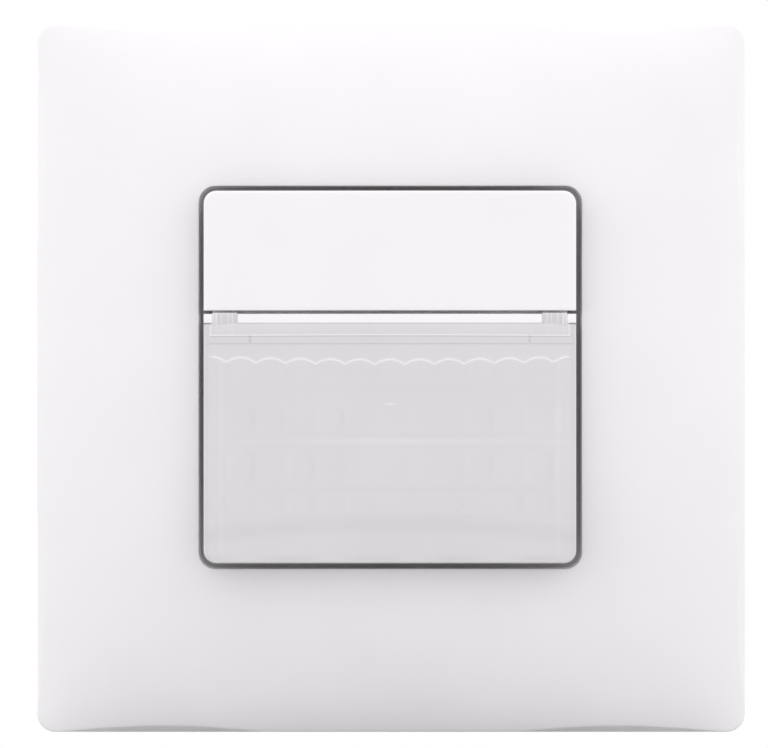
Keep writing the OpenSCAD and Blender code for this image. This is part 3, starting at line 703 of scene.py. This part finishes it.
def lens_rows():
    """Heights of the rows of the lens grid, closer together where the relief is fine."""
    low = LENS_LOW + LENS_ROUND
    corner_r = FACE_R - LENS_ROUND
    corner_steps = 16
    groove_room = 1.3
    angles = [math.pi / 2 * i / corner_steps for i in range(corner_steps)]
    rows = [low + corner_r * (1 - math.cos(angle)) for angle in angles]
    dash_low = DASH_UP - 3 * DASH_LINE
    dash_high = DASH_UP + 3 * DASH_LINE
    grooves_low = SCALLOP_MIDDLE - SCALLOP_REACH - groove_room
    scallop_low = SCALLOP_MIDDLE - 2 * WALL_RUN
    scallop_high = SCALLOP_MIDDLE + 2 * WALL_RUN
    rib_low = RIB_LOW - 2 * WALL_RUN
    rib_high = RIB_LOW + 2 * WALL_RUN
    band_low = BAND_LOW - 5 * WALL_RUN
    band_high = BAND_LOW + 3 * WALL_RUN
    top = LENS_TOP - LENS_ROUND
    stretches = (
        (low + corner_r, dash_low, 0.25),
        (dash_low, dash_high, 0.04),
        (dash_high, grooves_low, 0.25),
        (grooves_low, scallop_low, 0.08),
        (scallop_low, scallop_high, 0.025),
        (scallop_high, rib_low, 0.12),
        (rib_low, rib_high, 0.025),
        (rib_high, band_low, 0.16),
        (band_low, band_high, 0.025),
        (band_high, top, 0.16),
    )
    for start, end, step in stretches:
        steps = math.ceil((end - start) / step)
        rows += [start + (end - start) * i / steps for i in range(steps)]
    rows.append(top)
    return rows


def lens_columns():
    """Shares of the half width at the columns of the lens grid, closer where upright lines are."""
    plain = 110
    fine_step = 0.05
    fine_count = 6
    least_gap = 0.001
    shares = [i / plain for i in range(plain + 1)]
    for middle in (TICK_X, BAND_HALF):
        places = [middle + fine_step * i for i in range(-fine_count, fine_count + 1)]
        shares += [x / FACE_HALF for x in places]
    shares = sorted(share for share in shares if share <= 1)
    spaced = [0]
    for share in shares:
        if share - spaced[-1] > least_gap:
            spaced.append(share)
    spaced[-1] = 1
    return [-share for share in reversed(spaced[1:])] + spaced


def lens_hook(side):
    """Snap hook with fine upright ribs, which rises out of the band and runs up into the bar."""
    ribs = 5
    rib_points = 10
    rib_depth = 0.05
    below_face = 0.03
    edge_run = 0.05
    nose_round = 0.05
    root = 0.3
    low = LENS_TOP - root
    high = BAR_TOP + HOOK_NOSE
    top_out = face_out(LENS_HOOK_X) - below_face
    floor_out = top_out - LENS_HOOK_T
    count = ribs * rib_points
    profile = [(LENS_HOOK_W / 2, floor_out), (-LENS_HOOK_W / 2, floor_out)]
    for i in range(count + 1):
        wave = 0.5 - 0.5 * math.cos(2 * math.pi * ribs * i / count)
        profile.append((LENS_HOOK_W * (i / count - 0.5), top_out - rib_depth * (1 - wave)))
    # Painted shade on the hook beside the bar, a painted highlight along its top edge, and painted
    # light streaks and a pale end over the ribs.
    light_edge = HOOK_PAINTED_SHADE + HOOK_EDGE_LIGHT
    steps = (
        (low, 1, BAND_DEPTH),
        (LENS_TOP + edge_run, HOOK_PAINTED_SHADE, 0),
        (high - 4 * edge_run, HOOK_PAINTED_SHADE, 0),
        (high - edge_run, light_edge, 0),
        (high, light_edge, 0),
    )
    rings = []
    tones = []
    for up, painted_shading, sunk in steps:
        rings.append([(side * LENS_HOOK_X + x, up, out - sunk) for x, out in profile])
        for x, out in profile:
            off_middle = x * side
            pale_end = HOOK_END_LIGHT * smooth_step(HOOK_END, LENS_HOOK_W / 2, off_middle)
            strength = BAND_STREAKS + (1 - BAND_STREAKS) * smooth_step(low, LENS_TOP, up)
            tones.append(painted_shading + strength * (streaks(LENS_HOOK_X + off_middle) + pale_end))
    shell = capped(rings)
    middle_up = (BAR_TOP + KEY_LOW) / 2
    nose_out = top_out - NOSE_DEPTH
    nose_x = side * LENS_HOOK_X
    nose = rounded_block(nose_x, middle_up, LENS_HOOK_W, KEY_GAP, floor_out - 1, nose_out, nose_round)
    return joined(shell, nose), tones + [1] * len(nose[0])


def lens_sheet(material):
    """Lens as a grid of points with relief, a rounded border, side walls and the snap hooks."""
    shares = lens_columns()
    columns = len(shares) - 1
    round_steps = 4
    corner_r = FACE_R - LENS_ROUND
    half = FACE_HALF - LENS_ROUND
    corner_up = LENS_LOW + LENS_ROUND + corner_r
    tiny = 1e-6
    top_row = LENS_TOP - LENS_ROUND - tiny
    rows = lens_rows()

    def half_width(up):
        """Half the width of the sheet, less at the rounded lower corners."""
        below = max(corner_up - up, 0)
        return half - corner_r + math.sqrt(max(corner_r**2 - below**2, 0))

    points = []
    for row in rows:
        pull = max(1 - abs(row - SCALLOP_MIDDLE) / SCALLOP_REACH, 0)
        for share in shares:
            x = half_width(row) * share
            up = row + pull * (scallop_up(x) - SCALLOP_MIDDLE)
            points.append((x, up, face_out(x) + lens_relief(x, up)))
    stride = columns + 1
    faces = [
        (j * stride + i, j * stride + i + 1, (j + 1) * stride + i + 1, (j + 1) * stride + i)
        for j in range(len(rows) - 1)
        for i in range(columns)
    ]

    last = len(rows) - 1
    border = list(range(columns))
    border += [j * stride + columns for j in range(last)]
    border += [last * stride + i for i in range(columns, 0, -1)]
    border += [j * stride for j in range(last, 0, -1)]

    def outward(x, up):
        """Direction away from the outline, mitred at the two upper corners."""
        if up < corner_up:
            across = max(abs(x) - (half - corner_r), 0)
            down = corner_up - up
            length = math.hypot(across, down)
            return math.copysign(across / length, x), -down / length
        beside = math.copysign(1, x) if abs(x) > half - tiny else 0
        return beside, 1 if up > top_row else 0

    def under_bar(x, up):
        """True where the sheet runs on level against the bar."""
        return up > top_row and abs(x) < BAND_HALF

    def around(grow, drop):
        """Border of the sheet, moved outwards and lowered; it keeps the relief of the edge."""
        ring = []
        for index in border:
            x, up, out = points[index]
            nx, nu = outward(x, up)
            px, pu = x + nx * grow, up + nu * grow
            lowered = 0 if under_bar(x, up) else drop
            ring.append((px, pu, face_out(px) + out - face_out(x) - lowered))
        return ring

    def foot(grow):
        """Border of the sheet on the front of the housing."""
        return [(x, up, HOUSING_FACE) for x, up, out in around(grow, 0)]

    rings = [[points[index] for index in border]]
    for k in range(1, round_steps + 1):
        angle = math.pi / 2 * k / round_steps
        rings.append(around(LENS_ROUND * math.sin(angle), LENS_ROUND * (1 - math.cos(angle))))
    rings.append(foot(LENS_ROUND))
    rings.append(foot(LENS_ROUND - LENS_WALL))
    ceiling = [(x, up, face_out(x) - LENS_WALL) for x, up, out in around(LENS_ROUND - LENS_WALL, 0)]
    rings.append(ceiling)
    middle = (0, (LENS_LOW + LENS_TOP) / 2)
    ceiling_shares = (0.3, 0.6, 0.8, 0.95)
    for share in ceiling_shares:
        flat = blend_points([(x, up) for x, up, _ in ceiling], [middle] * len(ceiling), share)
        rings.append([(x, up, face_out(x) - LENS_WALL) for x, up in flat])

    start = len(points)
    count = len(border)
    # Painted light and shade over the face of the lens.
    tones = [lens_painted_shading(x, up) for x, up, out in points]
    # Painted shade on the upper border beside the band, along the seam under the bar.
    edge_tones = []
    for index in border:
        x, up, out = points[index]
        edge_tones.append(SEAM_PAINTED_SHADE if up > top_row and abs(x) > BAND_HALF else 1)
    tones += edge_tones * round_steps
    for ring in rings[1:]:
        points += ring
    # The side walls and the inside of the lens take the same painted shade as the walls of the key.
    tones += [SKIRT_PAINTED_SHADE] * (len(points) - len(tones))
    previous = border
    for j in range(len(rings) - 1):
        following = [start + j * count + i for i in range(count)]
        for i in range(count):
            k = (i + 1) % count
            faces.append((previous[i], previous[k], following[k], following[i]))
        previous = following
    faces.append(tuple(previous))
    shells = [(points, faces)]
    for side in (-1, 1):
        hook, hook_tones = lens_hook(side)
        shells.append(hook)
        tones += hook_tones
    return make_piece("lens_sheet", joined(*shells), "lens", material, sharp_angle=30, tones=tones)


# Materials


class Finish:
    """Material with a few node helpers; coordinates are the object's own, in metres."""

    def __init__(self, name, roughness, metallic=0.0, specular=0.5):
        self.material = bpy.data.materials.new(name)
        self.material.use_nodes = True
        self.tree = self.material.node_tree
        self.shader = self.tree.nodes["Principled BSDF"]
        self.shader.inputs["Roughness"].default_value = roughness
        self.shader.inputs["Metallic"].default_value = metallic
        self.shader.inputs["Specular IOR Level"].default_value = specular
        self.coordinates = self.add("ShaderNodeTexCoord").outputs["Object"]

    def add(self, kind, **settings):
        """New node with its settings."""
        node = self.tree.nodes.new(kind)
        for key, value in settings.items():
            setattr(node, key, value)
        return node

    def link(self, output, socket):
        self.tree.links.new(output, socket)

    def mapped(self, scale=(1, 1, 1)):
        """Coordinates stretched along the axes."""
        mapping = self.add("ShaderNodeMapping")
        mapping.inputs["Scale"].default_value = scale
        self.link(self.coordinates, mapping.inputs["Vector"])
        return mapping.outputs["Vector"]

    def noise(self, size_mm, detail=4, stretch=(1, 1, 1)):
        """Clouds of about the given size."""
        texture = self.add("ShaderNodeTexNoise")
        texture.inputs["Scale"].default_value = 1 / (size_mm * MM)
        texture.inputs["Detail"].default_value = detail
        self.link(self.mapped(stretch), texture.inputs["Vector"])
        return texture.outputs["Fac"]

    def ramp(self, factor, *stops):
        """Colour that runs through stops of a position and a colour each."""
        node = self.add("ShaderNodeValToRGB")
        ramp = node.color_ramp
        while len(ramp.elements) < len(stops):
            ramp.elements.new(1)
        for element, (position, colour) in zip(ramp.elements, stops):
            element.position = position
            element.color = (*colour, 1)
        self.link(factor, node.inputs["Fac"])
        return node.outputs["Color"]

    def ranged(self, value, low, high, to_low, to_high):
        """Value moved from one range to another."""
        node = self.add("ShaderNodeMapRange")
        ends = {"From Min": low, "From Max": high, "To Min": to_low, "To Max": to_high}
        for name, number in ends.items():
            node.inputs[name].default_value = number
        self.link(value, node.inputs["Value"])
        return node.outputs["Result"]

    def colour(self, output):
        self.link(output, self.shader.inputs["Base Color"])

    def rough(self, output):
        self.link(output, self.shader.inputs["Roughness"])

    def times(self, first, second):
        """Product of two colours."""
        node = self.add("ShaderNodeMix", data_type="RGBA", blend_type="MULTIPLY")
        node.inputs["Factor"].default_value = 1
        self.link(first, node.inputs[6])
        self.link(second, node.inputs[7])
        return node.outputs[2]

    def with_painted_shading(self, colour):
        """Colour times the painted light and shade that the mesh carries."""
        painted_shading = self.add("ShaderNodeAttribute", attribute_name="painted_shading")
        return self.times(colour, painted_shading.outputs["Fac"])

    def bump(self, height, depth_mm, strength=0.6, edge_mm=0):
        """Fine relief; edges are shaded as if rounded where a radius is given."""
        node = self.add("ShaderNodeBump")
        if edge_mm:
            edges = self.add("ShaderNodeBevel", samples=4)
            edges.inputs["Radius"].default_value = edge_mm * MM
            self.link(edges.outputs["Normal"], node.inputs["Normal"])
        node.inputs["Strength"].default_value = strength
        node.inputs["Distance"].default_value = depth_mm * MM
        self.link(height, node.inputs["Height"])
        self.link(node.outputs["Normal"], self.shader.inputs["Normal"])


def grey(value):
    """Colour without a tint."""
    return (value, value, value)


def shades(colour, spread):
    """A colour a little darker and a little lighter."""
    return tuple(c * (1 - spread) for c in colour), tuple(min(c * (1 + spread), 1) for c in colour)


def moulded(
    name, colour, roughness, grain_mm=0.35, depth_mm=0.006, spread=0.012, with_painted_shading=False, edge_mm=0
):
    """Moulded plastic with a fine grain, faint flow clouds and a slightly uneven gloss."""
    cloud_mm = 14
    gloss_spread = 0.04
    finish = Finish(name, roughness)
    low, high = shades(colour, spread)
    clouds = finish.noise(cloud_mm, detail=2)
    grain = finish.noise(grain_mm, detail=3)
    base = finish.ramp(clouds, (CLOUD_LOW, low), (CLOUD_HIGH, high))
    finish.colour(finish.with_painted_shading(base) if with_painted_shading else base)
    glossy = roughness - gloss_spread
    dull = roughness + gloss_spread
    finish.rough(finish.ranged(clouds, CLOUD_LOW, CLOUD_HIGH, glossy, dull))
    finish.bump(grain, depth_mm, edge_mm=edge_mm)
    return finish.material


def housing(name, colour):
    """Coarser grey plastic of the two housings, with edges that look rounded."""
    return moulded(name, colour, 0.55, grain_mm=0.5, depth_mm=0.02, spread=0.08, edge_mm=0.3)


def milky_lens(name):
    """Milky lens sheet with an arched band of painted shade low down."""
    finish = Finish(name, roughness=0.34)
    clouds = finish.noise(size_mm=9, detail=3)
    low, high = shades(LENS_COLOUR, spread=0.012)
    base = finish.ramp(clouds, (CLOUD_LOW, low), (CLOUD_HIGH, high))
    parts = finish.add("ShaderNodeSeparateXYZ")
    finish.link(finish.coordinates, parts.inputs["Vector"])
    arched = finish.add("ShaderNodeMath", operation="MULTIPLY_ADD")
    square = finish.add("ShaderNodeMath", operation="MULTIPLY")
    finish.link(parts.outputs["X"], square.inputs[0])
    finish.link(parts.outputs["X"], square.inputs[1])
    finish.link(square.outputs["Value"], arched.inputs[0])
    arched.inputs[1].default_value = ARCHED_BY / MM
    finish.link(parts.outputs["Z"], arched.inputs[2])
    shades_up = [(LENS_LOW, LENS_BOTTOM_SHADE), *ARCHED_SHADES]
    low_m = shades_up[0][0] * MM
    high_m = shades_up[-1][0] * MM
    along = finish.ranged(arched.outputs["Value"], low_m, high_m, 0, 1)
    stops = [((up * MM - low_m) / (high_m - low_m), grey(share)) for up, share in shades_up]
    shade = finish.ramp(along, *stops)
    finish.colour(finish.with_painted_shading(finish.times(base, shade)))
    finish.bump(finish.noise(size_mm=0.3, detail=2), depth_mm=0.002)
    return finish.material


def metal(name, colour, roughness, stretch=(1, 1, 1), grain_mm=0.5, edge_mm=0):
    """Plated or plain metal with drawn streaks, spots of duller plating and a fine grain."""
    finish = Finish(name, roughness, metallic=1.0)
    drawn = finish.noise(grain_mm, detail=4, stretch=stretch)
    spots = finish.noise(size_mm=5, detail=3)
    low, high = shades(colour, spread=0.08)
    finish.colour(finish.ramp(spots, (0.35, low), (0.65, high)))
    finish.rough(finish.ranged(drawn, CLOUD_LOW, CLOUD_HIGH, roughness - 0.08, roughness + 0.1))
    finish.bump(drawn, depth_mm=0.004, strength=0.4, edge_mm=edge_mm)
    return finish.material


def circuit_board(name):
    """Solder mask over copper tracks that run in both directions."""
    finish = Finish(name, roughness=0.4)
    tracks = []
    for stretch in ((1, 1, 0.06), (0.06, 1, 1)):
        lines = finish.noise(size_mm=1.6, detail=0, stretch=stretch)
        tracks.append(finish.ranged(lines, 0.48, 0.52, 0, 1))
    both = finish.add("ShaderNodeMath", operation="MULTIPLY")
    finish.link(tracks[0], both.inputs[0])
    finish.link(tracks[1], both.inputs[1])
    copper_under, bare = shades(BOARD_GREEN, spread=0.3)
    finish.colour(finish.ramp(both.outputs["Value"], (0.2, copper_under), (0.8, bare)))
    finish.bump(both.outputs["Value"], depth_mm=0.03)
    return finish.material


def tinted_resin(name, colour, roughness=0.12):
    """Clear tinted resin with a soft swirl and a smooth gloss."""
    finish = Finish(name, roughness)
    low, high = shades(colour, spread=0.2)
    swirl = finish.noise(size_mm=1.2, detail=2)
    finish.colour(finish.ramp(swirl, (CLOUD_LOW, low), (CLOUD_HIGH, high)))
    finish.bump(swirl, depth_mm=0.005, strength=0.3)
    return finish.material


def dress_nodes(finishes):
    """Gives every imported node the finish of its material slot."""
    for part in frame["record"]["subparts"]:
        node = nodes[part["node"]]
        node.data.materials.clear()
        node.data.materials.append(finishes[part["material_slot"]])
    nodes["front_housing"].data.materials[0] = finishes["front_grey"]
    # The crossbar takes the lighter white with its painted light.
    nodes["crossbar"].data.materials[0] = finishes["bar_white"]


def soften(node, width_mm, segments=2):
    """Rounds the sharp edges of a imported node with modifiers; its mesh stays as packed."""
    weld = nodes[node].modifiers.new("weld", "WELD")
    weld.merge_threshold = 0.002 * MM
    bevel = nodes[node].modifiers.new("edges", "BEVEL")
    bevel.width = width_mm * MM
    bevel.segments = segments
    bevel.limit_method = "ANGLE"
    bevel.angle_limit = math.radians(40)
    bevel.use_clamp_overlap = True
    level = nodes[node].modifiers.new("level", "WEIGHTED_NORMAL")
    level.keep_sharp = True


# Stage


def make_floor():
    """Pale table top under the part, out of the photograph's view."""
    half = 300
    thick = 4
    corner_r = 20
    arc_steps = 6
    edge_levels = ((thick, 0), (1, 0), (0.3, 0.3), (0, 1))
    rings = []
    for drop, inset in edge_levels:
        edge = half - inset
        outline = rounded_outline(edge, -edge, edge, corner_r, corner_r, 1, arc_steps)
        rings.append([(x, FLOOR_UP - drop, out) for x, out in outline])
    material = moulded("floor_pale", grey(FLOOR_TONE), 0.7, grain_mm=2, depth_mm=0.02)
    floor = bpy.data.objects.new("floor", make_mesh("floor", capped(rings), material))
    bpy.context.scene.collection.objects.link(floor)


def make_lamp(name, position_mm, size_mm, strength):
    """Soft area lamp that looks at the part; strength is the brightness of its surface."""
    lamp = bpy.data.lights.new(name, "AREA")
    lamp.shape = "RECTANGLE"
    lamp.size, lamp.size_y = (side * MM for side in size_mm)
    lamp.energy = strength * math.pi * lamp.size * lamp.size_y
    holder = bpy.data.objects.new(name, lamp)
    holder.location = place(*position_mm)
    holder.rotation_mode = "QUATERNION"
    holder.rotation_quaternion = (-holder.location).to_track_quat("-Z", "Y")
    bpy.context.scene.collection.objects.link(holder)


def make_world():
    """White to the camera, in reflections and through clear parts; a soft light for all else."""
    world = bpy.data.worlds.new("studio")
    bpy.context.scene.world = world
    world.use_nodes = True
    tree = world.node_tree
    background = tree.nodes["Background"]
    path = tree.nodes.new("ShaderNodeLightPath")
    seen = path.outputs["Is Camera Ray"]
    for name in ("Is Glossy Ray", "Is Transmission Ray"):
        either = tree.nodes.new("ShaderNodeMath")
        either.operation = "MAXIMUM"
        tree.links.new(seen, either.inputs[0])
        tree.links.new(path.outputs[name], either.inputs[1])
        seen = either.outputs["Value"]
    mix = tree.nodes.new("ShaderNodeMix")
    mix.data_type = "RGBA"
    mix.inputs[6].default_value = (*grey(WORLD_LIGHT), 1)
    mix.inputs[7].default_value = (1, 1, 1, 1)
    tree.links.new(seen, mix.inputs["Factor"])
    tree.links.new(mix.outputs[2], background.inputs["Color"])


def make_camera():
    """Long lens in front of the face, a touch to the right and below, framed as the photograph is."""
    image_width = 768
    frame_pixels = 707
    middle_offset = (7.25, 4.3)
    turn = math.radians(0.8)
    pixel_mm = 2 * FRAME_HALF / frame_pixels
    distance = 3000
    data = bpy.data.cameras.new("camera")
    data.sensor_width = 36
    data.lens = data.sensor_width * distance / (image_width * pixel_mm)
    data.dof.use_dof = False
    data.clip_start = 0.1
    data.clip_end = 20
    camera = bpy.data.objects.new("camera", data)
    aside = distance * math.tan(turn)
    camera_x = aside - middle_offset[0] * pixel_mm
    camera_up = middle_offset[1] * pixel_mm - aside
    camera.location = place(camera_x, camera_up, distance)
    camera.rotation_euler = (math.pi / 2 + turn, 0, turn)
    bpy.context.scene.collection.objects.link(camera)
    bpy.context.scene.camera = camera


def make_finishes():
    """Finish of each material slot, and three that single pieces have."""
    return {
        "frame_white": moulded("frame_white", FRAME_WHITE, 0.42),
        "key_white": moulded("key_white", KEY_WHITE, 0.36),
        "bar_white": moulded("bar_white", BAR_LIT_WHITE, 0.36),
        "key_cap": moulded("key_cap", KEY_WHITE, 0.36, with_painted_shading=True),
        "lens_milky": milky_lens("lens_milky"),
        "housing_grey": housing("housing_grey", HOUSING_GREY),
        "front_grey": housing("front_grey", FRONT_GREY),
        "plate_steel": metal("plate_steel", PLATE_STEEL, 0.36, stretch=(0.05, 1, 1), edge_mm=0.12),
        "bright_steel": metal("bright_steel", BRIGHT_STEEL, 0.24),
        "contact_brass": metal("contact_brass", CONTACT_BRASS, 0.3),
        "board_green": circuit_board("board_green"),
        "filter_dark": tinted_resin("filter_dark", FILTER_DARK),
        "lamp_red": tinted_resin("lamp_red", LAMP_RED),
        "part_black": moulded("part_black", PART_BLACK, 0.5, spread=0.1),
        "part_blue": moulded("part_blue", PART_BLUE, 0.45, spread=0.06),
        "part_yellow": moulded("part_yellow", PART_YELLOW, 0.4, spread=0.05),
        "part_brown": moulded("part_brown", PART_BROWN, 0.5, spread=0.08),
    }


make_camera()
finishes = make_finishes()
dress_nodes(finishes)
frame_shell(finishes["frame_white"])
key_cap(finishes["key_cap"])
lens_sheet(finishes["lens_milky"])
soften("crossbar", 0.08)
make_floor()
for lamp in LAMPS:
    make_lamp(*lamp)
make_world()
bpy.context.scene.view_settings.view_transform = "Standard"
